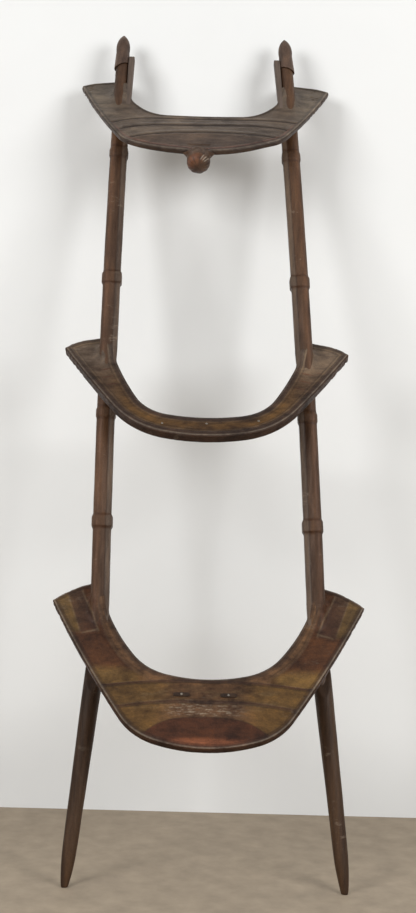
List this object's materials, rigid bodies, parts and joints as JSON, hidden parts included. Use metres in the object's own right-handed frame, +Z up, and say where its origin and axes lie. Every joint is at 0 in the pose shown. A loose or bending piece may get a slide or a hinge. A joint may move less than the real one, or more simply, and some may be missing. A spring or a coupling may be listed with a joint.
{
  "type": "camel saddle frame",
  "caption": "Leaning camel-saddle frame: two bowed hide-wrapped poles with splayed legs, joined by crescent arches, with a pommel knob under the top one.",
  "frame": {"origin": "on the floor, in the middle of the overall width and depth", "axes": "+Z up, +X from the left pole to the right one as seen from the front, +Y towards the wall the frame leans on; the low middles of the arches reach to -Y"},
  "size_m": [0.5288, 0.4878, 1.4749],
  "materials": {
    "hide_brown": "worn dark-brown rawhide, semi-gloss",
    "hide_pole": "brown rawhide with reddish streaks, semi-gloss",
    "hide_dark": "almost black rawhide edging, waxed",
    "hide_olive": "olive-brown hide panel, semi-gloss",
    "hide_red": "reddish-brown hide panel, semi-gloss",
    "wood_core": "sawn board, hidden under hide",
    "wood_pole": "worn round pole",
    "wood_lath": "greyish lath, worn",
    "iron_nail": "dark iron, worn bright on top"
  },
  "bodies": {
    "root": {"front_arch_back_cover": "hide_brown", "front_arch_binding": "hide_dark", "front_arch_core": "wood_core", "front_arch_edging": "hide_dark", "front_arch_front_cover": "hide_brown", "front_arch_lower_band": "hide_brown", "front_arch_panel": "hide_red", "front_arch_upper_band": "hide_olive", "left_front_collar": "hide_dark", "left_leg": "wood_pole", "left_lower_lath": "wood_lath", "left_lower_ring": "hide_pole", "left_lower_sleeve": "hide_pole", "left_middle_collar": "hide_dark", "left_pole": "wood_pole", "left_red_panel": "hide_red", "left_tip_cap": "hide_pole", "left_tip_lath": "wood_lath", "left_tip_sleeve": "hide_pole", "left_upper_lath": "wood_lath", "left_upper_ring": "hide_pole", "left_upper_sleeve": "hide_pole", "left_wing_panel": "hide_brown", "left_wing_strip": "hide_olive", "middle_arch_back_cover": "hide_brown", "middle_arch_binding": "hide_dark", "middle_arch_core": "wood_core", "middle_arch_edging": "hide_dark", "middle_arch_front_cover": "hide_brown", "middle_arch_nails": "iron_nail", "pommel_knob": "hide_brown", "pommel_peg": "wood_pole", "rear_arch_back_cover": "hide_brown", "rear_arch_binding": "hide_dark", "rear_arch_centre_band": "hide_brown", "rear_arch_core": "wood_core", "rear_arch_edging": "hide_dark", "rear_arch_front_cover": "hide_brown", "rear_arch_half_moon": "hide_olive", "rear_arch_lower_panel": "hide_brown", "rear_arch_nails": "iron_nail", "rear_arch_tabs": "hide_dark", "right_front_collar": "hide_dark", "right_leg": "wood_pole", "right_lower_lath": "wood_lath", "right_lower_ring": "hide_pole", "right_lower_sleeve": "hide_pole", "right_middle_collar": "hide_dark", "right_pole": "wood_pole", "right_red_panel": "hide_red", "right_tip_cap": "hide_pole", "right_tip_lath": "wood_lath", "right_tip_sleeve": "hide_pole", "right_upper_lath": "wood_lath", "right_upper_ring": "hide_pole", "right_upper_sleeve": "hide_pole", "right_wing_panel": "hide_brown", "right_wing_strip": "hide_olive", "scarf_pegs": "wood_pole"}
  },
  "joints": []
}
